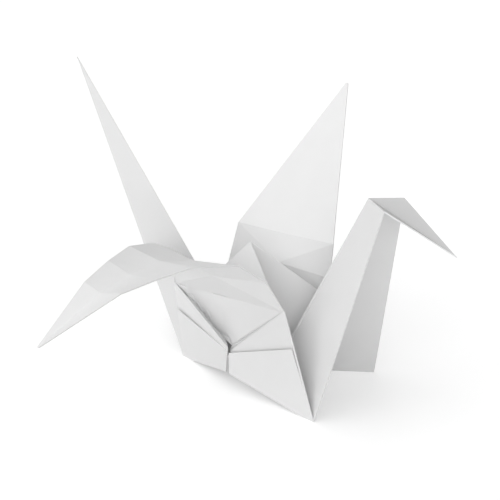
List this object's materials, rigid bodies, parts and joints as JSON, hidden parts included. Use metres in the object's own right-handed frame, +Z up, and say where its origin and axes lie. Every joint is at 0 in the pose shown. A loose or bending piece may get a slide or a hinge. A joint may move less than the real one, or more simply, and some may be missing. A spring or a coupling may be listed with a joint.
{
  "type": "folded paper crane",
  "caption": "White origami crane folded from one square sheet, with pointed neck, head and tail, a raised back, one wing curled out and one wing standing up.",
  "frame": {"origin": "on the table, below the middle of the bird's outline as seen from above", "axes": "+X forward along the spine towards the head, +Y to the bird's left, the wing that stands up, +Z up"},
  "size_m": [0.1052, 0.1168, 0.0662],
  "materials": {
    "white_paper": "matt uncoated white paper"
  },
  "bodies": {
    "root": {"folded_crane": "white_paper"}
  },
  "joints": []
}
